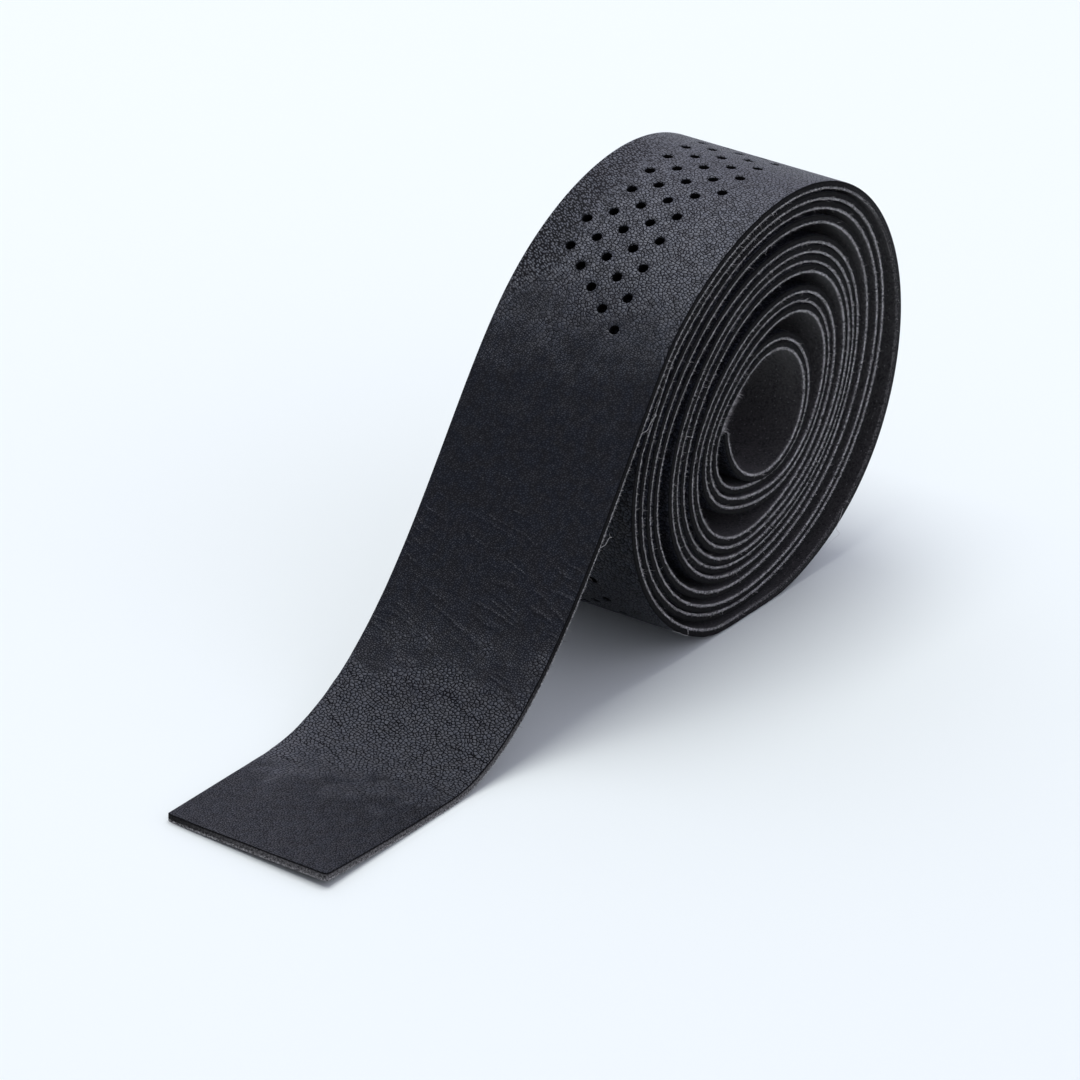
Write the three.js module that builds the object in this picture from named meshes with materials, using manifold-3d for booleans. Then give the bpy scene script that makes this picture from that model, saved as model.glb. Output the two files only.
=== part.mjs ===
// Handlebar tape roll: one long strip of perforated leather tape, wound loosely on itself.
// Millimetres, +Z up. The roll's axis runs along Y and the free tail runs towards -X.
// The grain side of the strip faces out of the roll and the flesh side faces its core.
// The origin is the middle of the bounding box at the surface that the roll lies on.

import * as THREE from 'three';
import { mergeGeometries, mergeVertices } from 'three/addons/utils/BufferGeometryUtils.js';
import Module from 'manifold-3d';

// The strip
const tapeWidth = 30;
const tapeThickness = 1.3;
const airBetweenTurns = 0.2;

// The winding, in degrees counted outwards from +X over +Z, as seen from -Y
const rollDiameter = 67.2;
const coreRadius = 8.5;
const innerEndAngle = 176;
const leavingAngle = 139;
const woundTurns = 13;
const stationStep = 12;

// The strip's inner end springs back off the core and settles over this many degrees
const innerEndLift = 3;
const innerEndSettling = 60;

// The room that tight turns would leave in the roll
const tightTurns = woundTurns * (tapeThickness + airBetweenTurns);
const slack = rollDiameter / 2 - coreRadius - tightTurns;

// The places that take up the slack: from there on, every turn lies further out by the
// share. A high focus keeps a place narrow, and a low one spreads it over half of the turn.
const slackPlaces = [
  { turn: 1, angle: 198, share: 0.77, focus: 8 },
  { turn: 2, angle: 336, share: 0.12, focus: 1 },
  { turn: 3, angle: 41, share: 0.59, focus: 6 },
  { turn: 4, angle: 239, share: 0.59, focus: 10 },
  { turn: 6, angle: 107, share: 0.37, focus: 1.2 },
  { turn: 9, angle: 183, share: 0.49, focus: 5 },
  { turn: 10, angle: 81, share: 0.3, focus: 1.5 },
  { turn: 10, angle: 330, share: 0.3, focus: 1.2 },
  { turn: 12, angle: 158, share: 0.18, focus: 10 },
  { turn: 12, angle: 264, share: 0.2, focus: 12 },
  { turn: 12, angle: 332, share: 0.73, focus: 4.7 },
];

// The roll's weight presses its outer turn flat by this much where it lies
const flatSpotSag = 0.9;

// The tail, at its near edge (-Y) and at its far edge (+Y): the run from the roll down to the
// surface, how softly it leaves the roll and meets the surface, and the stretch that lies flat
const nearTail = { run: 56, rollEase: 14, floorEase: 26, flatLength: 30.5, endLift: 1 };
const farTail = { run: 61, rollEase: 22.5, floorEase: 31, flatLength: 23, endLift: 0 };
const fallStations = 16;
const flatStations = 4;

// The punched holes: rows along the strip, each one set on from the row nearer to the viewer.
// The hide is punched before the strip is cut from it, a little out of line with the cut, so
// every row drifts away from the near edge from one hole to the next.
const holeDiameter = 1.5;
const holeSides = 6;
const holePitch = 5.5;
const rowPitch = 3.45;
const rowShift = 2.8;
const rowDrift = 0.38;
const firstHoleFromEdge = 10;
const nearPlainEdge = 8.7;
const farPlainEdge = 5.6;
const plainLead = 106.4;
const perforatedLength = 205;

const lastAngle = leavingAngle + 360 * woundTurns;

// Radius of the flesh side at an angle counted on through all the turns
function fleshRadius(angle) {
  const wound = angle - innerEndAngle;
  let radius = coreRadius + (tapeThickness + airBetweenTurns) * wound / 360;
  radius += innerEndLift * Math.exp(-wound / innerEndSettling);
  for (const place of slackPlaces) {
    const past = angle - (place.angle + 360 * place.turn);
    if (past > -180) {
      const nearness = (1 + Math.cos(THREE.MathUtils.degToRad(past))) / 2;
      radius += slack * place.share * nearness ** place.focus;
    }
  }
  return radius;
}

function polar(radius, angle) {
  const turned = THREE.MathUtils.degToRad(angle);
  return new THREE.Vector2(radius * Math.cos(turned), radius * Math.sin(turned));
}

// Height of the roll's axis, from the lowest point of its outer turn and the flat spot
function findAxisHeight() {
  let lowest = 0;
  for (let angle = lastAngle; angle > lastAngle - 360; angle -= stationStep / 4) {
    lowest = Math.min(lowest, polar(fleshRadius(angle) + tapeThickness, angle).y);
  }
  return -lowest - flatSpotSag;
}

// One cut across the roll's wall: its grain side and its flesh side in the XZ plane
function rollCut(angle, axisHeight) {
  const grain = polar(fleshRadius(angle) + tapeThickness, angle);
  const flesh = polar(fleshRadius(angle), angle);
  grain.y = Math.max(grain.y + axisHeight, 0);
  flesh.y = Math.max(flesh.y + axisHeight, tapeThickness);
  return { grain, flesh };
}

// The cuts across one edge of the tail, from its free end up to the roll
function tailCuts(tail, leavingCut, beforeLeaving) {
  const start = leavingCut.grain;
  const away = start.clone().sub(beforeLeaving.grain).normalize();
  const landing = new THREE.Vector2(start.x - tail.run, tapeThickness);
  const curve = new THREE.CubicBezierCurve(
    landing,
    new THREE.Vector2(landing.x + tail.floorEase, tapeThickness),
    start.clone().addScaledVector(away, tail.rollEase),
    start,
  );
  const cuts = [];
  for (let i = 0; i < flatStations; i += 1) {
    const outward = 1 - i / flatStations;
    const lift = tail.endLift * outward ** 2;
    const x = landing.x - tail.flatLength * outward;
    cuts.push({
      grain: new THREE.Vector2(x, tapeThickness + lift),
      flesh: new THREE.Vector2(x, lift),
    });
  }
  for (let i = 0; i < fallStations; i += 1) {
    const t = i / fallStations;
    const grain = curve.getPoint(t);
    const along = curve.getTangent(t);
    const flesh = new THREE.Vector2(grain.x + along.y * tapeThickness, grain.y - along.x * tapeThickness);
    cuts.push({ grain, flesh });
  }
  return cuts;
}

// All cuts of one edge of the strip, from the tail's free end to the end inside the core
function edgeCuts(tail, axisHeight) {
  const rollCuts = [];
  for (let angle = lastAngle; angle > innerEndAngle; angle -= stationStep) {
    rollCuts.push(rollCut(angle, axisHeight));
  }
  rollCuts.push(rollCut(innerEndAngle, axisHeight));
  return [...tailCuts(tail, rollCuts[0], rollCuts[1]), ...rollCuts];
}

// The point of a cut pair at a place across the strip, on the grain side or the flesh side
function acrossStrip(near, far, side, y) {
  const share = y / tapeWidth + 0.5;
  const x = THREE.MathUtils.lerp(near[side].x, far[side].x, share);
  const z = THREE.MathUtils.lerp(near[side].y, far[side].y, share);
  return new THREE.Vector3(x, y, z);
}

// A closed strip with four corners at each station
function stripGeometry(nearCuts, farCuts) {
  const positions = [];
  const indices = [];
  const corners = [['flesh', -1], ['flesh', 1], ['grain', 1], ['grain', -1]];
  const stations = nearCuts.length;
  for (let i = 0; i < stations; i += 1) {
    for (const [side, end] of corners) {
      const corner = acrossStrip(nearCuts[i], farCuts[i], side, end * tapeWidth / 2);
      positions.push(corner.x, corner.y, corner.z);
    }
  }
  for (let i = 0; i < stations - 1; i += 1) {
    for (let c = 0; c < 4; c += 1) {
      const a = 4 * i + c;
      const b = 4 * i + (c + 1) % 4;
      indices.push(a, b, a + 4, b, b + 4, a + 4);
    }
  }
  const last = 4 * (stations - 1);
  indices.push(0, 2, 1, 0, 3, 2);
  indices.push(last, last + 1, last + 2, last, last + 2, last + 3);
  const geometry = new THREE.BufferGeometry();
  geometry.setAttribute('position', new THREE.Float32BufferAttribute(positions, 3));
  geometry.setIndex(indices);
  return geometry;
}

// Distances along the middle of the strip's grain side, from the tail's free end
function stripDistances(nearCuts, farCuts) {
  const distances = [0];
  for (let i = 1; i < nearCuts.length; i += 1) {
    const before = acrossStrip(nearCuts[i - 1], farCuts[i - 1], 'grain', 0);
    const here = acrossStrip(nearCuts[i], farCuts[i], 'grain', 0);
    distances.push(distances[i - 1] + here.distanceTo(before));
  }
  return distances;
}

// A punch through the strip, square to it, that ends in the air on both sides
function punch(grain, flesh) {
  const through = grain.clone().sub(flesh).normalize();
  const length = tapeThickness + airBetweenTurns;
  const geometry = new THREE.CylinderGeometry(holeDiameter / 2, holeDiameter / 2, length, holeSides);
  geometry.applyQuaternion(new THREE.Quaternion().setFromUnitVectors(new THREE.Vector3(0, 1, 0), through));
  const middle = grain.clone().add(flesh).divideScalar(2);
  return geometry.translate(middle.x, middle.y, middle.z);
}

function punches(nearCuts, farCuts) {
  const distances = stripDistances(nearCuts, farCuts);
  const stripLength = distances[distances.length - 1];
  const lastHole = Math.min(plainLead + perforatedLength, stripLength - holePitch);
  const rowsAcross = Math.ceil(tapeWidth / rowPitch);
  const tools = [];
  for (let row = -rowsAcross; row <= rowsAcross; row += 1) {
    const rowStart = plainLead + row * rowShift;
    for (let n = 0; rowStart + n * holePitch < lastHole; n += 1) {
      const along = rowStart + n * holePitch;
      const fromNearEdge = firstHoleFromEdge + row * rowPitch + n * rowDrift;
      const onBand = fromNearEdge >= nearPlainEdge && fromNearEdge <= tapeWidth - farPlainEdge;
      if (along < plainLead || !onBand) continue;
      const y = fromNearEdge - tapeWidth / 2;
      const i = distances.findIndex((distance) => distance > along) - 1;
      const share = (along - distances[i]) / (distances[i + 1] - distances[i]);
      const at = (side) => acrossStrip(nearCuts[i], farCuts[i], side, y)
        .lerp(acrossStrip(nearCuts[i + 1], farCuts[i + 1], side, y), share);
      tools.push(punch(at('grain'), at('flesh')));
    }
  }
  return tools;
}

const wasm = await Module();
wasm.setup();

function toSolid(geometry) {
  const bare = geometry.clone();
  bare.deleteAttribute('normal');
  bare.deleteAttribute('uv');
  const merged = mergeVertices(bare, 1e-5);
  const vertProperties = new Float32Array(merged.attributes.position.array);
  const triVerts = new Uint32Array(merged.index.array);
  return new wasm.Manifold(new wasm.Mesh({ numProp: 3, vertProperties, triVerts }));
}

function toGeometry(solid) {
  const mesh = solid.getMesh();
  const geometry = new THREE.BufferGeometry();
  geometry.setAttribute('position', new THREE.Float32BufferAttribute(mesh.vertProperties, 3));
  geometry.setIndex(new THREE.Uint32BufferAttribute(mesh.triVerts, 1));
  geometry.computeVertexNormals();
  return geometry;
}

function buildTape() {
  const axisHeight = findAxisHeight();
  const nearCuts = edgeCuts(nearTail, axisHeight);
  const farCuts = edgeCuts(farTail, axisHeight);
  let strip = toSolid(stripGeometry(nearCuts, farCuts));
  const tools = punches(nearCuts, farCuts);
  if (tools.length > 0) {
    strip = strip.subtract(toSolid(mergeGeometries(tools)));
  }
  return toGeometry(strip);
}

const leather = new THREE.MeshStandardMaterial({
  color: 0x26272b,
  roughness: 0.62,
  metalness: 0,
  flatShading: true,
});

const tape = new THREE.Mesh(buildTape(), leather);
tape.name = 'handlebar_tape_strip';

const box = new THREE.Box3().setFromObject(tape);
tape.position.x = -(box.min.x + box.max.x) / 2;

const group = new THREE.Group();
group.add(tape);

export default group;
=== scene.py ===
import math
import random

import bpy
import numpy as np
from mathutils import Matrix, Vector


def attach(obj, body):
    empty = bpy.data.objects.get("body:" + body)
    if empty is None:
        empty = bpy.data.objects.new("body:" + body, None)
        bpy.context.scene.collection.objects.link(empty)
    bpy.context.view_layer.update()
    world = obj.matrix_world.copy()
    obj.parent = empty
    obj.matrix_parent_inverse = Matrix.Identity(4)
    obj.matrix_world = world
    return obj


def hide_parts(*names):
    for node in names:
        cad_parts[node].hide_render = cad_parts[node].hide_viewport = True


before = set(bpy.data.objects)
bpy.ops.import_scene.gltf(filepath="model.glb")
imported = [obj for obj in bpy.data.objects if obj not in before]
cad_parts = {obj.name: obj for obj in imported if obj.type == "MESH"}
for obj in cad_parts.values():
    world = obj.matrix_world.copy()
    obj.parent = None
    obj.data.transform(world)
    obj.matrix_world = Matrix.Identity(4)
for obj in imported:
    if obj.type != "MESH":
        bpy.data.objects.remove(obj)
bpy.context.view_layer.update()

# THE TAPE STRIP
# One strip of black leather, 30 mm wide and 1.3 mm thick, with a pebbled grain side outside and
# a suede flesh side inside. It is punched in drifting rows and wound loosely on itself, and its
# free end runs down from the roll, bends and lies flat in front.
TAPE_WIDTH = 30.0
TAPE_THICKNESS = 1.3
AIR_BETWEEN_TURNS = 0.2
ROLL_DIAMETER = 67.2
CORE_RADIUS = 8.5
INNER_END_ANGLE = 176.0
LEAVING_ANGLE = 139.0
WOUND_TURNS = 13
INNER_END_LIFT = 3.0
INNER_END_SETTLING = 60.0
FLAT_SPOT_SAG = 0.9
SLACK_PLACES = [                      # turn, angle, share of the slack, focus
    (1, 198, 0.77, 8.0), (2, 336, 0.12, 1.0), (3, 41, 0.59, 6.0), (4, 239, 0.59, 10.0),
    (6, 107, 0.37, 1.2), (9, 183, 0.49, 5.0), (10, 81, 0.3, 1.5), (10, 330, 0.3, 1.2),
    (12, 158, 0.18, 10.0), (12, 264, 0.2, 12.0), (12, 332, 0.73, 4.7),
]
NEAR_TAIL = {"run": 56.0, "roll_ease": 14.0, "floor_ease": 26.0, "flat": 30.5, "lift": 1.0}
FAR_TAIL = {"run": 61.0, "roll_ease": 22.5, "floor_ease": 31.0, "flat": 23.0, "lift": 0.0}
HOLE_RADIUS = 0.75
HOLE_PITCH = 5.5
ROW_PITCH = 3.45
ROW_SHIFT = 2.8
ROW_DRIFT = 0.38
FIRST_HOLE_FROM_EDGE = 10.0
NEAR_PLAIN_EDGE = 8.7
FAR_PLAIN_EDGE = 5.6
PLAIN_LEAD = 106.4
PERFORATED_LENGTH = 205.0
LAST_ANGLE = LEAVING_ANGLE + 360.0 * WOUND_TURNS
BEND_MIDDLE, BEND_SPREAD = 42.0, 15.0           # along the strip from its free end
RUB_STARTS, RUB_FULL, RUB_FADES, RUB_ENDS = 150, 176, 244, 272
WANDER_STARTS, WANDER_GROWS_OVER = 96, 40       # where the turns begin to stand unevenly


def flesh_radius(angle):
    wound = angle - INNER_END_ANGLE
    turn_step = TAPE_THICKNESS + AIR_BETWEEN_TURNS
    slack = ROLL_DIAMETER / 2 - CORE_RADIUS - WOUND_TURNS * turn_step
    radius = CORE_RADIUS + turn_step * wound / 360 + INNER_END_LIFT * np.exp(-wound / INNER_END_SETTLING)
    for turn, place, share, focus in SLACK_PLACES:
        past = angle - (place + 360 * turn)
        nearness = (1 + np.cos(np.radians(past))) / 2
        radius = radius + np.where(past > -180, slack * share * nearness ** focus, 0)
    return radius


def around(radius, angle):
    turned = np.radians(angle)
    return np.stack([radius * np.cos(turned), radius * np.sin(turned)], axis=-1)


outer_turn = LAST_ANGLE - np.arange(0, 360, 3.0)
axis_height = -around(flesh_radius(outer_turn) + TAPE_THICKNESS, outer_turn)[:, 1].min() - FLAT_SPOT_SAG
wound_angles = np.append(np.arange(LAST_ANGLE, INNER_END_ANGLE, -1.5), INNER_END_ANGLE)


def wound_part():
    """The grain and flesh lines of all the turns, from the outside in."""
    grain = around(flesh_radius(wound_angles) + TAPE_THICKNESS, wound_angles)
    flesh = around(flesh_radius(wound_angles), wound_angles)
    for line, floor in ((grain, 0), (flesh, TAPE_THICKNESS)):
        above = line[:, 1] + axis_height - floor
        line[:, 1] = floor + (above + np.sqrt(above ** 2 + 0.3)) / 2
    return grain, flesh


def tail_part(tail, wound_grain):
    """The same two lines for one edge of the tail, from its free end up to the roll."""
    start = wound_grain[0]
    away = start - wound_grain[1]
    away = away / np.linalg.norm(away)
    landing = np.array([start[0] - tail["run"], TAPE_THICKNESS])
    outward = np.linspace(1, 0, 41)[:-1]
    lift = tail["lift"] * outward ** 2
    flat_x = landing[0] - tail["flat"] * outward
    flat_grain = np.stack([flat_x, TAPE_THICKNESS + lift], axis=-1)
    flat_flesh = np.stack([flat_x, lift], axis=-1)
    points = [landing, landing + [tail["floor_ease"], 0], start + away * tail["roll_ease"], start]
    t = np.linspace(0, 1, 161)[:-1, None]
    fall = ((1 - t) ** 3 * points[0] + 3 * (1 - t) ** 2 * t * points[1]
            + 3 * (1 - t) * t ** 2 * points[2] + t ** 3 * points[3])
    along = np.gradient(fall, axis=0)
    along = along / np.linalg.norm(along, axis=1, keepdims=True)
    under = fall + np.stack([along[:, 1], -along[:, 0]], axis=-1) * TAPE_THICKNESS
    return np.vstack([flat_grain, fall]), np.vstack([flat_flesh, under])


wound_grain, wound_flesh = wound_part()
edge_lines = []
for tail in (NEAR_TAIL, FAR_TAIL):
    tail_grain, tail_flesh = tail_part(tail, wound_grain)
    edge_lines.append((np.vstack([tail_grain, wound_grain]), np.vstack([tail_flesh, wound_flesh])))
(near_grain, near_flesh), (far_grain, far_flesh) = edge_lines
middle = (near_grain + far_grain) / 2
line_s = np.concatenate([[0], np.cumsum(np.linalg.norm(np.diff(middle, axis=0), axis=1))])
strip_length = line_s[-1]
centre_x = (near_grain[:, 0].min() + near_grain[:, 0].max()) / 2


def s_at(angle):
    """Distance along the strip from its free end to a winding angle."""
    return np.interp(-np.asarray(angle, dtype=float), -wound_angles, line_s[-len(wound_angles):])


def on_line(line, s):
    return np.stack([np.interp(s, line_s, line[:, 0]), np.interp(s, line_s, line[:, 1])], axis=-1)


def slow_wave(s, seed, longest, amount):
    """A smooth, seeded wander along the strip."""
    draw = random.Random(seed)
    total = np.zeros_like(s, dtype=float)
    for k in range(5):
        length = longest / (1.0 + 0.83 * k)
        total += np.sin(2 * math.pi * s / length + draw.uniform(0, 6.28)) / (1.4 + k)
    return total * amount


def strip_points(s, y, t):
    """Places on the strip in metres: s along it, y across it and t from grain 0 to flesh 1."""
    s, y, t = np.broadcast_arrays(*(np.asarray(v, dtype=float) for v in (s, y, t)))
    share = (y / TAPE_WIDTH + 0.5)[..., None]
    grain = on_line(near_grain, s) * (1 - share) + on_line(far_grain, s) * share
    flesh = on_line(near_flesh, s) * (1 - share) + on_line(far_flesh, s) * share
    through = flesh - grain
    bend = np.exp(-((s - BEND_MIDDLE) / BEND_SPREAD) ** 2)
    ripple = slow_wave(s + 0.35 * y, 21, 13, 0.035) + slow_wave(s - 0.22 * y, 22, 7, 0.02)
    place = grain + through * (t + bend * ripple * np.clip(1 - t, 0, 1))[..., None]
    wound = np.clip((s - WANDER_STARTS) / WANDER_GROWS_OVER, 0, 1)
    sideways = y + wound * (slow_wave(s, 11, 610, 0.16) + slow_wave(s, 12, 170, 0.07))
    return np.stack([place[..., 0] - centre_x, sideways, place[..., 1]], axis=-1) / 1000


# The mesh is a grid of s along and y across, fine where the holes are. The turns inside the outer
# one have only the sparse columns. Every face notes the side of the strip that it is on.
GRAIN, EDGE, FLESH, FREE_END, HOLE_WALL = range(5)
STEP = 0.5
BAND_START = -8.0
BAND_COLUMNS = 39
HOLED_START = 104.4
HOLED_STATIONS = 419
band_columns = BAND_START + STEP * np.arange(BAND_COLUMNS)
rows_y = np.concatenate([[-14.9, -14.7, -14.0, -13.0, -12.0, -11.0, -10.0, -9.0], band_columns,
                         [12.0, 13.0, 14.0, 14.7, 14.9]])
FIRST_BAND_COLUMN = 8
sparse = [0, 1, 4, 18, 32, 46, 50, 51]
count_y = len(rows_y)
WALL_T = [0.09, 0.26, 0.5, 0.74, 0.91]
WALL_OUT = [0.08, 0.1, 0.1, 0.1, 0.08]
walls = len(WALL_T)

tail_s = np.concatenate([[0, 0.3, 0.8, 1.5], np.arange(2.4, 104.0, 0.86)])
holed_s = HOLED_START + STEP * np.arange(HOLED_STATIONS)
inner_angles = np.arange(LAST_ANGLE - 351, INNER_END_ANGLE + 3, -6.0)
wound_s = s_at(inner_angles)
wound_s = wound_s[(wound_s > holed_s[-1] + 1) & (wound_s < strip_length - 1.2)]
all_s = np.concatenate([tail_s, holed_s, wound_s, [strip_length - 0.5, strip_length]])
count_dense = len(tail_s) + len(holed_s)


def loop_of(rows):
    """One closed turn of (y, t) round the strip's section."""
    grain = [(y, 0.02 if k in (0, len(rows) - 1) else 0.0) for k, y in enumerate(rows)]
    far_wall = [(rows[-1] + out, t) for t, out in zip(WALL_T, WALL_OUT)]
    flesh = [(y, 0.985 if k in (0, len(rows) - 1) else 1.0) for k, y in enumerate(rows[::-1])]
    near_wall = [(rows[0] - out, t) for t, out in zip(WALL_T[::-1], WALL_OUT[::-1])]
    return grain + far_wall + flesh + near_wall


dense_loop = loop_of(rows_y)
sparse_places = (sparse + [count_y + k for k in range(walls)]
                 + [2 * count_y + walls - 1 - k for k in sparse[::-1]]
                 + [2 * count_y + walls + k for k in range(walls)])
section = len(dense_loop)

verts = []
first_of = []
for index, s in enumerate(all_s):
    first_of.append(len(verts))
    places = range(section) if index < count_dense else sparse_places
    verts.extend((s, dense_loop[k][0], dense_loop[k][1]) for k in places)


def side_of(place):
    """The side of the strip that a place in the section's loop starts."""
    if place < count_y - 1:
        return GRAIN
    if count_y + walls <= place < 2 * count_y + walls - 1:
        return FLESH
    return EDGE


holes = []
rows_across = math.ceil(TAPE_WIDTH / ROW_PITCH)
for row in range(-rows_across, rows_across + 1):
    n = 0
    while PLAIN_LEAD + row * ROW_SHIFT + n * HOLE_PITCH < PLAIN_LEAD + PERFORATED_LENGTH:
        s = PLAIN_LEAD + row * ROW_SHIFT + n * HOLE_PITCH
        from_edge = FIRST_HOLE_FROM_EDGE + row * ROW_PITCH + n * ROW_DRIFT
        if s >= PLAIN_LEAD and NEAR_PLAIN_EDGE <= from_edge <= TAPE_WIDTH - FAR_PLAIN_EDGE:
            holes.append((s, from_edge - TAPE_WIDTH / 2))
        n += 1

HOLE_CELLS = 5
hole_corners = []
blocked = set()
for s, y in holes:
    i0 = len(tail_s) + int(round((s - HOLE_CELLS * STEP / 2 - holed_s[0]) / STEP))
    j0 = FIRST_BAND_COLUMN + int(round((y - HOLE_CELLS * STEP / 2 - BAND_START) / STEP))
    hole_corners.append((i0, j0))
    blocked.update((i0 + a, j0 + b) for a in range(HOLE_CELLS) for b in range(HOLE_CELLS))

faces = []
side_of_face = []
for i in range(len(all_s) - 1):
    here, there = first_of[i], first_of[i + 1]
    if i < count_dense - 1:
        for k in range(section):
            after = (k + 1) % section
            side = side_of(k)
            column = k if side == GRAIN else 2 * count_y + walls - 2 - k
            if side != EDGE and (i, column) in blocked:
                continue
            faces.append((here + k, there + k, there + after, here + after))
            side_of_face.append(side)
    elif i == count_dense - 1:
        for n, k in enumerate(sparse_places):
            m = (n + 1) % len(sparse_places)
            after = sparse_places[m]
            run = list(range(k, after + 1)) if after > k else list(range(k, section)) + [0]
            faces.append(tuple([there + n, there + m] + [here + q for q in run[::-1]]))
            side_of_face.append(side_of(k))
    else:
        for n in range(len(sparse_places)):
            m = (n + 1) % len(sparse_places)
            faces.append((here + n, there + n, there + m, here + m))
            side_of_face.append(side_of(sparse_places[n]))


def close_end(first, columns, outward):
    """Closes the section at one end of the strip with rows of quads from grain to flesh."""
    grain = [first + n for n in range(columns)]
    far_wall = [first + columns + k for k in range(walls)]
    flesh = [first + columns + walls + n for n in range(columns)][::-1]
    near_wall = [first + 2 * columns + walls + k for k in range(walls)][::-1]
    rows = [grain]
    for w in range(walls):
        inside = []
        for n in range(1, columns - 1):
            inside.append(len(verts))
            verts.append((verts[first][0], verts[grain[n]][1], WALL_T[w]))
        rows.append([near_wall[w]] + inside + [far_wall[w]])
    rows.append(flesh)
    for upper, lower in zip(rows[:-1], rows[1:]):
        for n in range(columns - 1):
            quad = (upper[n], upper[n + 1], lower[n + 1], lower[n])
            faces.append(quad if outward else quad[::-1])
            side_of_face.append(FREE_END)


close_end(first_of[0], count_y, True)
close_end(first_of[-1], len(sparse), False)

HOLE_RINGS = [(HOLE_RADIUS + 0.16, 0.0), (HOLE_RADIUS + 0.02, 0.1), (HOLE_RADIUS, 0.9),
              (HOLE_RADIUS + 0.08, 1.0)]
HOLE_SIDES = [GRAIN, GRAIN, HOLE_WALL, HOLE_WALL, FLESH]
for (s, y), (i0, j0) in zip(holes, hole_corners):
    last = HOLE_CELLS
    border = ([(i0, j0 + b) for b in range(last)] + [(i0 + a, j0 + last) for a in range(last)]
              + [(i0 + last, j0 + last - b) for b in range(last)]
              + [(i0 + last - a, j0) for a in range(last)])
    turns = [math.atan2(rows_y[j] - y, all_s[i] - s) for i, j in border]
    rings = [[first_of[i] + j for i, j in border]]
    for radius, t in HOLE_RINGS:
        rings.append([len(verts) + n for n in range(len(border))])
        verts.extend((s + radius * math.cos(a), y + radius * math.sin(a), t) for a in turns)
    rings.append([first_of[i] + 2 * count_y + walls - 1 - j for i, j in border])
    for level, (outer, inner) in enumerate(zip(rings[:-1], rings[1:])):
        for n in range(len(border)):
            m = (n + 1) % len(border)
            faces.append((outer[n], inner[n], inner[m], outer[m]))
            side_of_face.append(HOLE_SIDES[level])

strip_sty = np.array(verts)


def hand_cut(sty):
    """The free end was cut by hand, a little bowed, with slightly rounded corners."""
    s, y = sty[:, 0], sty[:, 1]
    bow = np.exp(-s / 2.5) * (0.35 * (y / 15) ** 2 - 0.25 + 0.1 * np.sin(y * 0.55 + 1))
    corner = np.clip((np.abs(y) - 14.2) / 0.8, 0, 1) ** 2 * 0.35 * np.exp(-s / 0.5)
    return np.stack([s + bow + corner, y, sty[:, 2]])


strip_xyz = strip_points(*hand_cut(strip_sty))
strip_mesh = bpy.data.meshes.new("tape_strip")
strip_mesh.from_pydata(strip_xyz.tolist(), [], faces)
strip_mesh.update()
tape_strip = bpy.data.objects.new("tape_strip", strip_mesh)
bpy.context.scene.collection.objects.link(tape_strip)

# The map across the strip runs on over the cut edges, so that they show grain, middle and flesh.
# The free ends are mapped further along, and the walls of the holes far outside the strip.
EDGE_MAP_START = 14.9
END_MAP_SHIFT = 40
HOLE_MAP_START = 40
HOLE_MAP_LIMIT = 30.0
loop_count = len(strip_mesh.loops)
loop_vert = np.empty(loop_count, dtype=np.int32)
strip_mesh.loops.foreach_get("vertex_index", loop_vert)
side_of_face = np.array(side_of_face, dtype=np.int32)
corners_of_face = np.array([len(face) for face in faces])
loop_side = np.repeat(side_of_face, corners_of_face)
loop_s, loop_y, loop_t = strip_sty[loop_vert].T
edge_sign = np.where((loop_side == FREE_END) | (loop_y > 0), 1, -1)
over_edge = edge_sign * (EDGE_MAP_START + TAPE_THICKNESS * loop_t)
in_hole = loop_side == HOLE_WALL
over_edge = np.where(in_hole, HOLE_MAP_START + TAPE_THICKNESS * loop_t, over_edge)
map_s = np.where(loop_side == FREE_END, loop_s + loop_y + END_MAP_SHIFT, loop_s)
map_y = np.where((loop_side == GRAIN) | (loop_side == FLESH), loop_y, over_edge)
uv = strip_mesh.uv_layers.new(name="along_and_across")
uv.data.foreach_set("uv", (np.stack([map_s, map_y], axis=-1) / 1000).astype(np.float32).ravel())
strip_mesh.polygons.foreach_set("use_smooth", np.ones(len(faces), dtype=bool))
GRAIN_SLOT, CUT_SLOT, SUEDE_SLOT = range(3)
slot_of_side = np.array([GRAIN_SLOT, CUT_SLOT, SUEDE_SLOT, CUT_SLOT, CUT_SLOT], dtype=np.int32)
strip_mesh.polygons.foreach_set("material_index", slot_of_side[side_of_face])


def new_group(name, inputs, outputs):
    group = bpy.data.node_groups.new(name, "ShaderNodeTree")
    for socket, kind, value in inputs:
        made = group.interface.new_socket(socket, in_out="INPUT", socket_type=kind)
        if value is not None:
            made.default_value = value
    for socket, kind in outputs:
        group.interface.new_socket(socket, in_out="OUTPUT", socket_type=kind)
    return group, group.nodes.new("NodeGroupInput"), group.nodes.new("NodeGroupOutput")


def put(tree, kind, settings=None, **sockets):
    """Adds one node, with its settings and with values or links for its sockets.

    A socket is given by its name, or as _0, _1 and so on by its place in the list.
    """
    node = tree.nodes.new(kind)
    for name, value in (settings or {}).items():
        setattr(node, name, value)
    for name, value in sockets.items():
        socket = node.inputs[int(name[1:])] if name[0] == "_" else node.inputs[name]
        if isinstance(value, bpy.types.NodeSocket):
            tree.links.new(value, socket)
        else:
            socket.default_value = value
    return node


def math_node(tree, operation, first, second=None, third=None):
    sockets = {"_0": first}
    if second is not None:
        sockets["_1"] = second
    if third is not None:
        sockets["_2"] = third
    return put(tree, "ShaderNodeMath", {"operation": operation}, **sockets).outputs[0]


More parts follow.
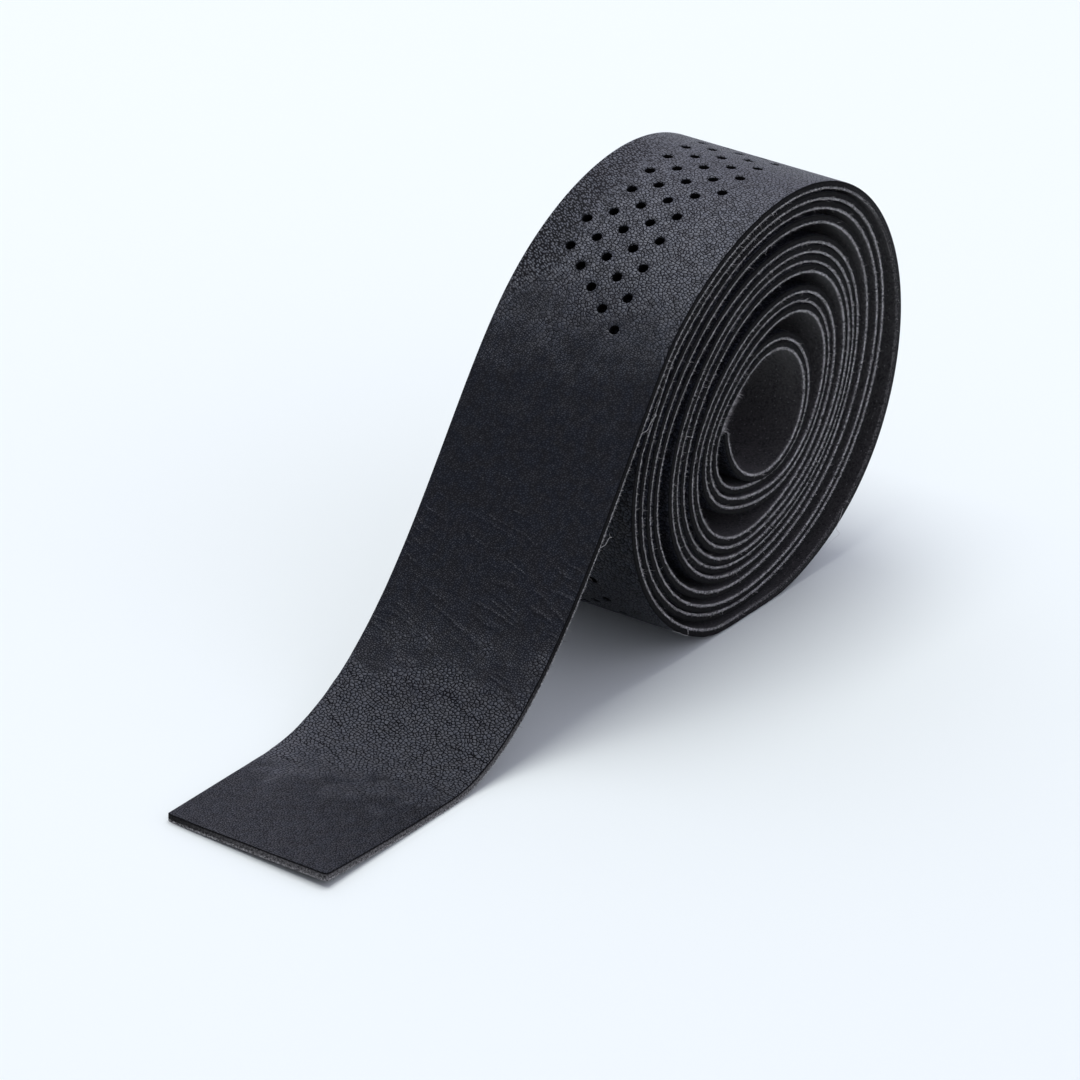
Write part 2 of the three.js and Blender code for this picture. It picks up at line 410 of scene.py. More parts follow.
def ramp(tree, value, low, high, to_low=0.0, to_high=1.0):
    """Turns a value smoothly from one range into another."""
    node = put(tree, "ShaderNodeMapRange", {"interpolation_type": "SMOOTHSTEP"}, Value=value)
    for socket, number in (("From Min", low), ("From Max", high), ("To Min", to_low), ("To Max", to_high)):
        node.inputs[socket].default_value = number
    return node.outputs["Result"]


def blend_colours(tree, share, first, second, way="MIX"):
    node = put(tree, "ShaderNodeMix", {"data_type": "RGBA", "blend_type": way})
    for place, value in ((0, share), (6, first), (7, second)):
        if isinstance(value, bpy.types.NodeSocket):
            tree.links.new(value, node.inputs[place])
        elif place == 0:
            node.inputs[0].default_value = value
        else:
            node.inputs[place].default_value = (*value, 1)
    return node.outputs[2]


def blend_values(tree, share, first, second):
    node = put(tree, "ShaderNodeMix", {"data_type": "FLOAT"})
    for place, value in ((0, share), (2, first), (3, second)):
        if isinstance(value, bpy.types.NodeSocket):
            tree.links.new(value, node.inputs[place])
        else:
            node.inputs[place].default_value = value
    return node.outputs[0]


def strip_place(tree):
    """The place on the strip in millimetres, with its distance along and across."""
    layer = put(tree, "ShaderNodeUVMap", {"uv_map": "along_and_across"})
    place = put(tree, "ShaderNodeMapping", Vector=layer.outputs["UV"], Scale=(1000, 1000, 1000))
    parts = put(tree, "ShaderNodeSeparateXYZ", Vector=place.outputs["Vector"])
    return place.outputs["Vector"], parts.outputs["X"], parts.outputs["Y"]


def turned(tree, vector, degrees, pitch_over, pitch_along):
    """The place counted in steps over and along lines that run at an angle to the strip's width."""
    sine, cosine = math.sin(math.radians(degrees)), math.cos(math.radians(degrees))
    over = put(tree, "ShaderNodeVectorMath", {"operation": "DOT_PRODUCT"}, _0=vector,
               _1=(cosine / pitch_over, -sine / pitch_over, 0))
    down = put(tree, "ShaderNodeVectorMath", {"operation": "DOT_PRODUCT"}, _0=vector,
               _1=(sine / pitch_along, cosine / pitch_along, 0))
    return put(tree, "ShaderNodeCombineXYZ", X=over.outputs["Value"], Y=down.outputs["Value"]).outputs[0]


# Pebbles of the grain side: domed cells with fine valleys between them.
pebbles, pebble_in, pebble_out = new_group(
    "pebbled_grain",
    [("Place", "NodeSocketVector", None), ("Cells", "NodeSocketFloat", 2.6),
     ("Order", "NodeSocketFloat", 0.8)],
    [("Dome", "NodeSocketFloat"), ("Rim", "NodeSocketFloat"), ("Tone", "NodeSocketFloat")])
cell = put(pebbles, "ShaderNodeTexVoronoi", {"voronoi_dimensions": "2D", "feature": "F1"},
           Vector=pebble_in.outputs["Place"], Scale=pebble_in.outputs["Cells"],
           Randomness=pebble_in.outputs["Order"])
rim = put(pebbles, "ShaderNodeTexVoronoi", {"voronoi_dimensions": "2D", "feature": "DISTANCE_TO_EDGE"},
          Vector=pebble_in.outputs["Place"], Scale=pebble_in.outputs["Cells"],
          Randomness=pebble_in.outputs["Order"])
pebbles.links.new(ramp(pebbles, cell.outputs["Distance"], 0.05, 0.62, 1.0, 0.0), pebble_out.inputs["Dome"])
pebbles.links.new(rim.outputs["Distance"], pebble_out.inputs["Rim"])
tone = put(pebbles, "ShaderNodeSeparateColor", Color=cell.outputs["Color"])
pebbles.links.new(tone.outputs[0], pebble_out.inputs["Tone"])

# Nap of raised fibres, as on the flesh side and on a fresh cut.
nap, nap_in, nap_out = new_group(
    "raised_nap",
    [("Place", "NodeSocketVector", None), ("Fineness", "NodeSocketFloat", 3.0)],
    [("Tone", "NodeSocketFloat"), ("Height", "NodeSocketFloat"), ("Patches", "NodeSocketFloat")])
hairs = put(nap, "ShaderNodeTexNoise", {"noise_dimensions": "2D"}, Vector=nap_in.outputs["Place"],
            Scale=nap_in.outputs["Fineness"], Detail=4.0, Roughness=0.72, Distortion=0.6)
patches = put(nap, "ShaderNodeTexNoise", {"noise_dimensions": "2D"}, Vector=nap_in.outputs["Place"],
              Scale=0.45, Detail=2.0, Roughness=0.6, Distortion=0.3)
nap.links.new(ramp(nap, hairs.outputs["Fac"], 0.36, 0.66), nap_out.inputs["Tone"])
nap.links.new(hairs.outputs["Fac"], nap_out.inputs["Height"])
nap.links.new(ramp(nap, patches.outputs["Fac"], 0.32, 0.68), nap_out.inputs["Patches"])

# Tiny pale flecks of dust and loose fibre.
flecks, fleck_in, fleck_out = new_group(
    "pale_flecks",
    [("Place", "NodeSocketVector", None), ("Spread", "NodeSocketFloat", 1.1),
     ("Size", "NodeSocketFloat", 0.09)],
    [("Mask", "NodeSocketFloat")])
speck = put(flecks, "ShaderNodeTexVoronoi", {"voronoi_dimensions": "2D", "feature": "F1"},
            Vector=fleck_in.outputs["Place"], Scale=fleck_in.outputs["Spread"])
chosen = put(flecks, "ShaderNodeSeparateColor", Color=speck.outputs["Color"])
small = math_node(flecks, "LESS_THAN", speck.outputs["Distance"], fleck_in.outputs["Size"])
few = math_node(flecks, "GREATER_THAN", chosen.outputs[1], 0.62)
flecks.links.new(math_node(flecks, "MULTIPLY", small, few), fleck_out.inputs["Mask"])

# Grain side: black finish from drum dyeing. The pebbles are coarse in the bend and on the roll, cracked
# in the bend, fine and calm elsewhere, and drawn out on a slant by the far edge of the roll's top.
# The colour is the black dye with painted shade in the valleys and cracks, painted highlights on the
# pebble tops and along the wrinkle lines, random tone per cell, bluish patches and pale dust.
grain_leather = bpy.data.materials.new("black_grain_leather")
grain_leather.use_nodes = True
tree = grain_leather.node_tree
surface = tree.nodes["Principled BSDF"]
place, along, across = strip_place(tree)
wander = put(tree, "ShaderNodeTexNoise", {"noise_dimensions": "2D"}, Vector=place, Scale=1.1, Detail=2.0)
shift = put(tree, "ShaderNodeVectorMath", {"operation": "SUBTRACT"}, _0=wander.outputs["Color"],
            _1=(0.5, 0.5, 0.5))
shift = put(tree, "ShaderNodeVectorMath", {"operation": "SCALE"}, _0=shift.outputs[0], Scale=0.4)
loose_place = put(tree, "ShaderNodeVectorMath", {"operation": "ADD"}, _0=place,
                  _1=shift.outputs[0]).outputs[0]
patchy = put(tree, "ShaderNodeTexNoise", {"noise_dimensions": "2D"}, Vector=place, Scale=0.17, Detail=3.0,
             Roughness=0.55)
soft_along = math_node(tree, "MULTIPLY_ADD", patchy.outputs["Fac"], 26.0,
                       math_node(tree, "SUBTRACT", along, 13.0))
in_bend = math_node(tree, "MULTIPLY", ramp(tree, soft_along, 14, 34), ramp(tree, soft_along, 40, 60, 1, 0))
on_roll = ramp(tree, soft_along, 92, 120)
flat_end = ramp(tree, soft_along, 18, 32, 1, 0)
by_far_edge = math_node(tree, "MULTIPLY", ramp(tree, across, 3.0, 13.0),
                        math_node(tree, "MULTIPLY", ramp(tree, along, 100, 116),
                                  ramp(tree, along, 138, 160, 1, 0)))
SLANT = 20
fine = put(tree, "ShaderNodeGroup", {"node_tree": pebbles},
           Place=turned(tree, loose_place, SLANT, 0.33, 0.44), Cells=1.0, Order=1.0)
coarse = put(tree, "ShaderNodeGroup", {"node_tree": pebbles},
             Place=turned(tree, loose_place, SLANT, 0.5, 0.66), Cells=1.0, Order=0.95)
drawn = put(tree, "ShaderNodeGroup", {"node_tree": pebbles},
            Place=turned(tree, loose_place, 29.5, 0.38, 0.62), Cells=1.0, Order=0.7)
drift = put(tree, "ShaderNodeTexNoise", {"noise_dimensions": "2D"},
            Vector=turned(tree, loose_place, SLANT, 5.0, 17.0), Scale=1.0, Detail=1.0)

# Lines that drift but never cross: the cracks of the bend and the wrinkle lines above it lie on them.
# The wrinkle lines are painted highlights in the colour.
lines_over = put(tree, "ShaderNodeSeparateXYZ", Vector=turned(tree, loose_place, SLANT, 1.6, 1.0))
fold = math_node(tree, "FRACT", math_node(tree, "MULTIPLY_ADD", drift.outputs["Fac"], 3.0,
                                          lines_over.outputs["X"]))
fold = math_node(tree, "ABSOLUTE", math_node(tree, "SUBTRACT", fold, 0.5))
broken = put(tree, "ShaderNodeTexNoise", {"noise_dimensions": "2D"},
             Vector=turned(tree, place, SLANT, 2.2, 4.5), Scale=1.0, Detail=2.0)
crack_band = math_node(tree, "MULTIPLY", ramp(tree, fold, 0.04, 0.15, 1.0, 0.0),
                       ramp(tree, broken.outputs["Fac"], 0.45, 0.58))
crack_width = ramp(tree, math_node(tree, "MULTIPLY", crack_band, in_bend), 0.0, 1.0, 1.0, 0.5)
flat_top = ramp(tree, math_node(tree, "MULTIPLY", coarse.outputs["Rim"], crack_width), 0.01, 0.17)
flat_top = math_node(tree, "MULTIPLY", flat_top, ramp(tree, coarse.outputs["Dome"], 0.0, 1.0, 0.72, 1.0))
soft_top = math_node(tree, "MULTIPLY", math_node(tree, "MULTIPLY_ADD", fine.outputs["Dome"], 0.45, 0.55),
                     ramp(tree, fine.outputs["Rim"], 0.0, 0.3, 0.2, 1.0))
coarse_share = ramp(tree, math_node(tree, "MAXIMUM", in_bend, on_roll), 0.3, 0.55)
pebble = blend_values(tree, coarse_share, soft_top, flat_top)
pebble = blend_values(tree, by_far_edge, pebble, drawn.outputs["Dome"])
tone = blend_values(tree, coarse_share, fine.outputs["Tone"], coarse.outputs["Tone"])
lifted = put(tree, "ShaderNodeTexNoise", {"noise_dimensions": "2D"},
             Vector=turned(tree, place, SLANT, 2.6, 7.0), Scale=1.0, Detail=1.0)
# Painted highlights on the pebble tops along the wrinkle lines above the bend.
painted_wrinkle_highlight_zone = math_node(tree, "MULTIPLY", ramp(tree, along, 44, 56), ramp(tree, along, 78, 92, 1, 0))
painted_wrinkle_highlights = math_node(tree, "MULTIPLY", ramp(tree, fold, 0.01, 0.045, 1.0, 0.0),
                     ramp(tree, lifted.outputs["Fac"], 0.6, 0.7))
painted_wrinkle_highlights = math_node(tree, "MULTIPLY", painted_wrinkle_highlights, painted_wrinkle_highlight_zone)
painted_wrinkle_highlights = math_node(tree, "MULTIPLY", painted_wrinkle_highlights, ramp(tree, fine.outputs["Dome"], 0.25, 0.6))
swell = math_node(tree, "MULTIPLY", ramp(tree, fold, 0.0, 0.3, 1.0, 0.0),
                  ramp(tree, lifted.outputs["Fac"], 0.45, 0.65))
swell = math_node(tree, "MULTIPLY", swell,
                  math_node(tree, "MULTIPLY", ramp(tree, along, 26, 44), ramp(tree, along, 66, 86, 1, 0)))
micro = put(tree, "ShaderNodeTexNoise", {"noise_dimensions": "2D"}, Vector=place, Scale=7.0, Detail=3.0,
            Roughness=0.7)
micro_share = math_node(tree, "MULTIPLY_ADD", flat_end, 0.5, 0.4)
relief = math_node(tree, "MULTIPLY_ADD", math_node(tree, "SUBTRACT", micro.outputs["Fac"], 0.5),
                   micro_share, math_node(tree, "ADD", pebble, 0.2))
depth_of_grain = math_node(tree, "ADD", 0.3, math_node(tree, "MULTIPLY", in_bend, 1.1))
depth_of_grain = math_node(tree, "MULTIPLY_ADD", on_roll, 0.75, depth_of_grain)
depth_of_grain = math_node(tree, "MULTIPLY_ADD", flat_end, 0.4, depth_of_grain)
body = math_node(tree, "MULTIPLY", relief, depth_of_grain)
body = math_node(tree, "MULTIPLY_ADD", swell, 0.65, body)
bump = put(tree, "ShaderNodeBump", Height=body, Strength=1.0, Distance=0.00012)
tree.links.new(bump.outputs["Normal"], surface.inputs["Normal"])
# Painted shade and highlights: the colour is darker in the valleys and cracks of the grain and lighter on
# the pebble tops, times the random tone of each cell.
raised = ramp(tree, relief, 0.2, 1.15)
raised = math_node(tree, "MULTIPLY", raised,
                   blend_values(tree, in_bend, ramp(tree, tone, 0.0, 1.0, 0.5, 1.6),
                                ramp(tree, tone, 0.0, 1.0, 0.78, 1.45)))
worked = math_node(tree, "MAXIMUM", math_node(tree, "MAXIMUM", in_bend, on_roll), flat_end)
raised = blend_values(tree, ramp(tree, worked, 0.0, 1.0, 0.36, 1.0), 0.55, raised)
raised = blend_values(tree, math_node(tree, "MULTIPLY", flat_end, 0.12), raised, 0.6)
# Base colour: black dye, with the painted shade and painted highlights of the relief.
dye_with_painted_shade_and_highlights = blend_colours(tree, raised, (0.0012, 0.0012, 0.0016), (0.0135, 0.0138, 0.018))
cast = put(tree, "ShaderNodeTexNoise", {"noise_dimensions": "2D"}, Vector=place, Scale=0.42, Detail=1.0)
cool = blend_colours(tree, 1.0, dye_with_painted_shade_and_highlights, (0.85, 1.0, 1.2), "MULTIPLY")
dye_with_painted_shade_and_highlights = blend_colours(tree, ramp(tree, cast.outputs["Fac"], 0.35, 0.65), dye_with_painted_shade_and_highlights, cool)
# Painted highlights: the colour is lightened along the wrinkle lines.
dye_with_painted_shade_and_highlights = blend_colours(tree, math_node(tree, "MULTIPLY", painted_wrinkle_highlights, 0.5), dye_with_painted_shade_and_highlights, (0.12, 0.125, 0.14))
dust = put(tree, "ShaderNodeGroup", {"node_tree": flecks}, Place=loose_place, Spread=0.6, Size=0.05)
dye_with_painted_shade_and_highlights = blend_colours(tree, math_node(tree, "MULTIPLY", dust.outputs["Mask"], 0.22), dye_with_painted_shade_and_highlights, (0.2, 0.2, 0.21))
tree.links.new(dye_with_painted_shade_and_highlights, surface.inputs["Base Color"])
polish = math_node(tree, "ADD", 0.4, math_node(tree, "MULTIPLY", in_bend, 0.42))
polish = math_node(tree, "MULTIPLY_ADD", on_roll, 0.76, polish)
polish = math_node(tree, "MULTIPLY_ADD", flat_end, 0.06, polish)
polish = math_node(tree, "MULTIPLY", polish, ramp(tree, raised, 0.0, 1.0, 0.12, 1.0))
polish = math_node(tree, "MULTIPLY", polish, ramp(tree, along, 215, 300, 1.0, 0.3))
tree.links.new(polish, surface.inputs["Specular IOR Level"])
surface.inputs["Specular Tint"].default_value = (0.89, 0.94, 1.0, 1)
tree.links.new(ramp(tree, relief, 0.0, 1.0, 0.62, 0.42), surface.inputs["Roughness"])
strip_mesh.materials.append(grain_leather)

# Cut edges: a thin black line of finish, dark fibre under it, and pale frayed fibre at the flesh
# side, which is worn off again where the outer turn has been rubbed. The walls of the holes are
# coloured near black: dark cut fibre, darkened further as painted shade inside the holes.
cut_leather = bpy.data.materials.new("cut_leather_edge")
cut_leather.use_nodes = True
tree = cut_leather.node_tree
surface = tree.nodes["Principled BSDF"]
place, along, across = strip_place(tree)
to_edge = math_node(tree, "ABSOLUTE", across)
depth = math_node(tree, "DIVIDE", math_node(tree, "SUBTRACT", to_edge, EDGE_MAP_START), TAPE_THICKNESS)
fray = put(tree, "ShaderNodeGroup", {"node_tree": nap}, Place=place, Fineness=3.4)
uneven = math_node(tree, "MULTIPLY_ADD", fray.outputs["Height"], 0.5,
                   math_node(tree, "SUBTRACT", depth, 0.25))
rubbed = math_node(tree, "MULTIPLY", ramp(tree, along, RUB_STARTS, RUB_FULL),
                   ramp(tree, along, RUB_FADES, RUB_ENDS, 1, 0))
on_table = ramp(tree, along, 30, 60, 1, 0)
worn = math_node(tree, "MAXIMUM", math_node(tree, "MULTIPLY", rubbed, 0.9),
                 math_node(tree, "MULTIPLY", on_table, 0.35))
pale = math_node(tree, "MULTIPLY", ramp(tree, uneven, 0.67, 0.86), math_node(tree, "SUBTRACT", 1.0, worn))
pale = math_node(tree, "MULTIPLY", pale, ramp(tree, fray.outputs["Tone"], 0.15, 0.9, 0.08, 1.0))
inside = blend_colours(tree, fray.outputs["Tone"], (0.0015, 0.0015, 0.002), (0.012, 0.0115, 0.012))
scuffed = blend_colours(tree, fray.outputs["Tone"], (0.008, 0.0078, 0.008), (0.045, 0.043, 0.044))
inside = blend_colours(tree, rubbed, inside, scuffed)
laid = blend_colours(tree, fray.outputs["Tone"], (0.035, 0.034, 0.035), (0.2, 0.193, 0.195))
inside = blend_colours(tree, on_table, inside, laid)
inside = blend_colours(tree, ramp(tree, depth, 0.08, 0.3), (0.002, 0.002, 0.0025), inside)
edge_colour = blend_colours(tree, pale, inside, (0.58, 0.57, 0.57))
# Painted shade: the walls of the holes are set near black, so that the holes look like dark recesses.
edge_colour = blend_colours(tree, math_node(tree, "GREATER_THAN", to_edge, HOLE_MAP_LIMIT), edge_colour,
                            (0.0015, 0.0015, 0.002))
tree.links.new(edge_colour, surface.inputs["Base Color"])
bump = put(tree, "ShaderNodeBump", Height=fray.outputs["Height"], Strength=1.0, Distance=0.00022)
tree.links.new(bump.outputs["Normal"], surface.inputs["Normal"])
surface.inputs["Roughness"].default_value = 0.92
surface.inputs["Specular IOR Level"].default_value = 0.12
strip_mesh.materials.append(cut_leather)

# Flesh side: dark grey suede with a cloudy nap, paler along its two edges.
flesh_suede = bpy.data.materials.new("flesh_side_suede")
flesh_suede.use_nodes = True
tree = flesh_suede.node_tree
surface = tree.nodes["Principled BSDF"]
place, _, across = strip_place(tree)
fibre = put(tree, "ShaderNodeGroup", {"node_tree": nap}, Place=place, Fineness=2.6)
suede = blend_colours(tree, fibre.outputs["Tone"], (0.02, 0.0198, 0.0205), (0.068, 0.0655, 0.066))
suede = blend_colours(tree, math_node(tree, "MULTIPLY", fibre.outputs["Patches"], 0.4), suede,
                      (0.07, 0.066, 0.066))
by_edge = math_node(tree, "MULTIPLY", ramp(tree, math_node(tree, "ABSOLUTE", across), 14.5, 14.95),
                    ramp(tree, fibre.outputs["Height"], 0.4, 0.6))
suede = blend_colours(tree, math_node(tree, "MULTIPLY", by_edge, 0.55), suede, (0.3, 0.29, 0.29))
lint = put(tree, "ShaderNodeGroup", {"node_tree": flecks}, Place=place, Spread=0.9, Size=0.08)
suede = blend_colours(tree, math_node(tree, "MULTIPLY", lint.outputs["Mask"], 0.5), suede, (0.3, 0.3, 0.3))
tree.links.new(suede, surface.inputs["Base Color"])
bump = put(tree, "ShaderNodeBump", Height=fibre.outputs["Height"], Strength=1.0, Distance=0.00018)
tree.links.new(bump.outputs["Normal"], surface.inputs["Normal"])
surface.inputs["Roughness"].default_value = 0.95
surface.inputs["Specular IOR Level"].default_value = 0.15
surface.inputs["Sheen Weight"].default_value = 0.08
surface.inputs["Sheen Roughness"].default_value = 0.5
strip_mesh.materials.append(flesh_suede)

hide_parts("handlebar_tape_strip")
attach(tape_strip, "root")

# THE LOOSE FIBRES OF THE CUT EDGES
# The blade leaves fine pale fibres standing along both edges of the flesh side. They are short
# and thick on the ground all round, with a few longer ones and a tuft near the inner end.
fibre_leather = bpy.data.materials.new("loose_leather_fibre")
fibre_leather.use_nodes = True
tree = fibre_leather.node_tree
surface = tree.nodes["Principled BSDF"]
place, _, _ = strip_place(tree)
strands = put(tree, "ShaderNodeGroup", {"node_tree": nap}, Place=place, Fineness=2.2)
strand_colour = blend_colours(tree, strands.outputs["Tone"], (0.035, 0.034, 0.0345), (0.85, 0.83, 0.81))
tree.links.new(strand_colour, surface.inputs["Base Color"])
surface.inputs["Roughness"].default_value = 0.8
surface.inputs["Specular IOR Level"].default_value = 0.2
TUFT = s_at([535, 505])
TUFT_FIBRES = 260
ROOT_FROM_MIDDLE = 14.93
CLEAR_OF_TABLE = 0.00002
THIRD_OF_A_TURN = 2.0944


def loose_fibres(name, side, per_mm, seed):
    """Slim closed spikes with their roots in the flesh side's arris."""
    draw = np.random.default_rng(seed)
    count = int(per_mm * strip_length)
    s = draw.uniform(0.2, strip_length - 0.2, count)
    rubbed = (np.clip((s - RUB_STARTS) / (RUB_FULL - RUB_STARTS), 0, 1)
              * np.clip((RUB_ENDS - s) / (RUB_ENDS - RUB_FADES), 0, 1))
    on_table = np.clip((66 - s) / 22, 0, 1)
    kept = draw.uniform(0, 1, count) > np.maximum(0.85 * rubbed, 0.55 * on_table)
    s = s[kept]
    tuft = draw.uniform(TUFT[0], TUFT[1], TUFT_FIBRES)
    s = np.concatenate([s, tuft])
    n = len(s)
    in_tuft = np.arange(n) >= n - len(tuft)
    length = np.minimum(draw.lognormal(math.log(0.2), 0.5, n), 0.65)
    length = np.where(draw.uniform(0, 1, n) < 0.025, draw.uniform(0.5, 1.1, n), length)
    length = np.where(in_tuft, draw.uniform(0.3, 1.1, n), length)
    t = np.clip(draw.normal(0.84, 0.1, n), 0.5, 0.99)
    heading = np.stack([draw.normal(0, 0.55, n), np.abs(draw.normal(0.5, 0.35, n)),
                        draw.normal(0.3, 0.45, n)])
    heading = heading / np.linalg.norm(heading, axis=0) * length
    half = draw.uniform(0.016, 0.03, n)
    spin = draw.uniform(0, 6.28, n)
    points = []
    for corner in range(3):
        a = spin + corner * THIRD_OF_A_TURN
        points.append(strip_points(s + half * np.cos(a), side * ROOT_FROM_MIDDLE,
                                   t + half * np.sin(a) / TAPE_THICKNESS))
    points.append(strip_points(s + heading[0], side * (TAPE_WIDTH / 2 + heading[1]),
                               t + heading[2] / TAPE_THICKNESS))
    spikes = np.stack(points, axis=1).reshape(-1, 3)
    spikes[:, 2] = np.maximum(spikes[:, 2], CLEAR_OF_TABLE)
    base = 4 * np.arange(n)[:, None]
    order = np.array([[0, 1, 3], [1, 2, 3], [2, 0, 3], [0, 2, 1]])
    if side < 0:
        order = order[:, ::-1]
    triangles = (base[:, :, None] + order[None]).reshape(-1, 3)
    mesh = bpy.data.meshes.new(name)
    mesh.from_pydata(spikes.tolist(), [], triangles.tolist())
    fibre_uv = mesh.uv_layers.new(name="along_and_across")
    corners = order.size
    spot = np.stack([np.repeat(s, corners), np.repeat(side * TAPE_WIDTH / 2 + heading[0], corners)],
                    axis=-1) / 1000
    fibre_uv.data.foreach_set("uv", spot.astype(np.float32).ravel())
    mesh.materials.append(fibre_leather)
    piece = bpy.data.objects.new(name, mesh)
    bpy.context.scene.collection.objects.link(piece)
    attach(piece, "root")


loose_fibres("near_edge_fibres", side=-1, per_mm=18, seed=5)
loose_fibres("far_edge_fibres", side=1, per_mm=10, seed=6)

# THE STRAY HAIRS
# A few long fibres have come loose from the cut and cling to the roll: one hangs under it near
# the table, and the others curl off the near edge.
HAIR_RADIUS = 0.00003
HAIR_CLEAR_OF_TABLE = 0.00005
under_roll = [(22.6, 7.1, 1.20), (23.3, 4.1, 1.00), (23.6, 1.4, 0.90), (23.9, -2.1, 0.90),
              (25.9, -3.8, 0.80), (25.3, -6.6, 0.60), (23.9, -9.7, 0.40), (23.7, -12.0, 0.20),
              (26.5, -13.8, 0.15), (29.3, -15.2, 0.12)]
hair_lines = [np.array(under_roll) / 1000]
low_right, low_left, tail_top = s_at(LAST_ANGLE - 187), s_at(LAST_ANGLE - 262), 92.0
for start, reach_out, curl, drop in ((low_right, 7.0, 0.9, -0.55), (low_left, 5.0, 0.7, -0.3),
                                     (tail_top, 3.6, 0.8, 1.9), (tail_top - 18, 2.4, 0.9, 1.6)):
    steps = np.linspace(0, 1, 7)
    hair_lines.append(strip_points(start + reach_out * (steps + 0.15 * np.sin(steps * 7 + start)),
                                   -14.95 - curl * np.sin(steps * math.pi) * (1 + 0.3 * np.cos(steps * 9)),
                                   0.9 * (1 - steps) + drop * steps + 0.15 * np.sin(steps * 8)))
hair_verts, hair_faces = [], []
for line in hair_lines:
    places = np.linspace(0, len(line) - 1, 6 * len(line))
    before = np.clip(places.astype(int), 0, len(line) - 2)
    part = (places - before)[:, None]
    rise = np.gradient(line, axis=0)
    path = ((2 * part ** 3 - 3 * part ** 2 + 1) * line[before]
            + (part ** 3 - 2 * part ** 2 + part) * rise[before]
            + (3 * part ** 2 - 2 * part ** 3) * line[before + 1]
            + (part ** 3 - part ** 2) * rise[before + 1])
    path[:, 2] = np.maximum(path[:, 2], HAIR_CLEAR_OF_TABLE)
    forward = np.gradient(path, axis=0)
    forward = forward / np.linalg.norm(forward, axis=1, keepdims=True)
    sideways = np.cross(forward, (0.3, 0.2, 1.0))
    sideways = sideways / np.linalg.norm(sideways, axis=1, keepdims=True)
    above = np.cross(sideways, forward)
    first = len(hair_verts)
    for k in range(len(path)):
        thick = HAIR_RADIUS * (1 - 0.5 * k / len(path))
        for corner in range(4):
            a = corner * math.pi / 2
            hair_verts.append(path[k] + thick * (math.cos(a) * sideways[k] + math.sin(a) * above[k]))
    for k in range(len(path) - 1):
        for corner in range(4):
            a, b = first + 4 * k + corner, first + 4 * k + (corner + 1) % 4
            hair_faces.append((a, a + 4, b + 4, b))
    last = first + 4 * (len(path) - 1)
    hair_faces.append((first, first + 1, first + 2, first + 3))
    hair_faces.append((last + 3, last + 2, last + 1, last))
hair_mesh = bpy.data.meshes.new("stray_hairs")
hair_mesh.from_pydata([tuple(map(float, v)) for v in hair_verts], [], hair_faces)
hair_look = bpy.data.materials.new("pale_stray_hair")
hair_look.use_nodes = True
hair_surface = hair_look.node_tree.nodes["Principled BSDF"]
hair_surface.inputs["Base Color"].default_value = (0.6, 0.59, 0.58, 1)
hair_surface.inputs["Roughness"].default_value = 0.6
hair_mesh.materials.append(hair_look)
stray_hairs = bpy.data.objects.new("stray_hairs", hair_mesh)
bpy.context.scene.collection.objects.link(stray_hairs)
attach(stray_hairs, "root")

# THE TABLE
# A plain, pale and matt surface under the roll, wide enough to fill the view from any side.
reach = 3.0
table_mesh = bpy.data.meshes.new("table")
table_mesh.from_pydata([(-reach, -reach, 0), (reach, -reach, 0), (reach, reach, 0), (-reach, reach, 0)],
                       [], [(0, 1, 2, 3)])
table = bpy.data.objects.new("table", table_mesh)
bpy.context.scene.collection.objects.link(table)
table_paint = bpy.data.materials.new("pale_table")
table_paint.use_nodes = True
table_surface = table_paint.node_tree.nodes["Principled BSDF"]
table_surface.inputs["Base Color"].default_value = (0.868, 0.925, 0.885, 1)
table_surface.inputs["Roughness"].default_value = 0.95
table_surface.inputs["Specular IOR Level"].default_value = 0.1
table_mesh.materials.append(table_paint)

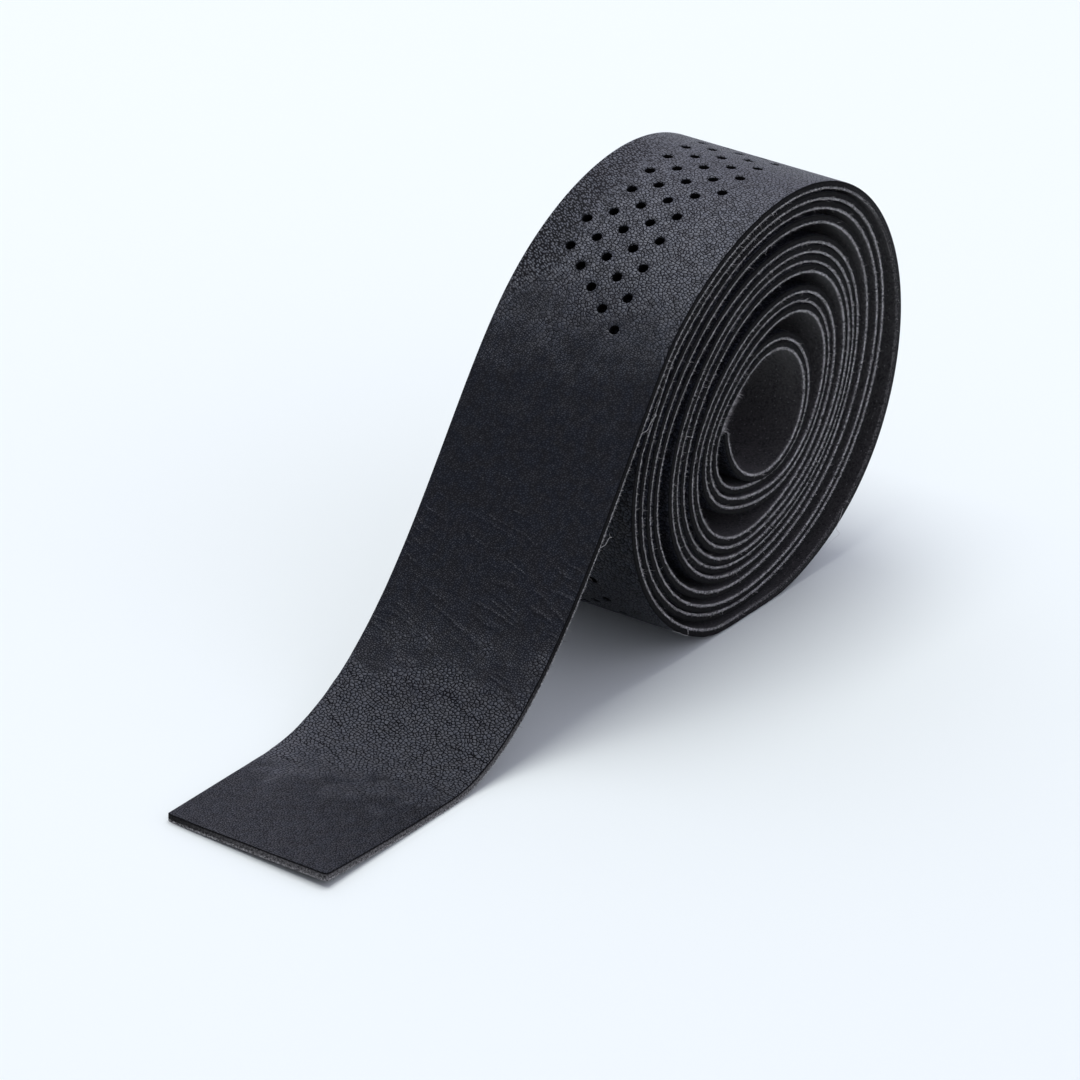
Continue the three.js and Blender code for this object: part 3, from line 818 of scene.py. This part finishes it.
# THE LIGHT
# A soft room that is brightest above the far side of the roll, and a wide soft lamp overhead,
# a little behind the roll, so that its shadow falls under the tail and softly towards the viewer.
world = bpy.data.worlds.new("room")
bpy.context.scene.world = world
world.use_nodes = True
tree = world.node_tree
room = tree.nodes["Background"]
direction = put(tree, "ShaderNodeTexCoord")
towards = put(tree, "ShaderNodeVectorMath", {"operation": "DOT_PRODUCT"},
              _0=direction.outputs["Generated"], _1=(0.62, 0.4, 0.675))
far_glow = ramp(tree, towards.outputs["Value"], 0.58, 0.97, 0.27, 1.1)
parts = put(tree, "ShaderNodeSeparateXYZ", Vector=direction.outputs["Generated"])
near_fill = ramp(tree, parts.outputs["Y"], -0.95, -0.1, 0.55, 0.0)
tree.links.new(math_node(tree, "ADD", far_glow, near_fill), room.inputs["Strength"])
room.inputs["Color"].default_value = (0.95, 0.95, 1.15, 1)
lamp = bpy.data.lights.new("lamp", "AREA")
lamp.shape = "RECTANGLE"
lamp.size = 1.5
lamp.size_y = 0.8
lamp.energy = 15.3
lamp_object = bpy.data.objects.new("lamp", lamp)
bpy.context.scene.collection.objects.link(lamp_object)
lamp_object.location = (0.16, 0.26, 1.6)
lamp_object.rotation_euler = (math.radians(-9), math.radians(5), 0)

# THE CAMERA
# It looks down on the near end of the roll from the side of the tail, from over a metre away.
azimuth, elevation, camera_roll = (math.radians(v) for v in (-56.46, 25.85, 1.91))
target = Vector((-0.00047, 0, 0.02179))
distance = 1.18312
back = Vector((math.sin(azimuth) * math.cos(elevation), -math.cos(azimuth) * math.cos(elevation),
               math.sin(elevation)))
level = Vector((math.cos(azimuth), math.sin(azimuth), 0))
upright = back.cross(level)
right = level * math.cos(camera_roll) + upright * math.sin(camera_roll)
top = upright * math.cos(camera_roll) - level * math.sin(camera_roll)
camera_data = bpy.data.cameras.new("camera")
camera_data.lens = 266.67
camera_data.sensor_width = 36
camera = bpy.data.objects.new("camera", camera_data)
bpy.context.scene.collection.objects.link(camera)
turn = Matrix((right, top, back)).transposed().to_4x4()
camera.matrix_world = Matrix.Translation(target + back * distance) @ turn
bpy.context.scene.camera = camera
bpy.context.scene.view_settings.view_transform = "Standard"
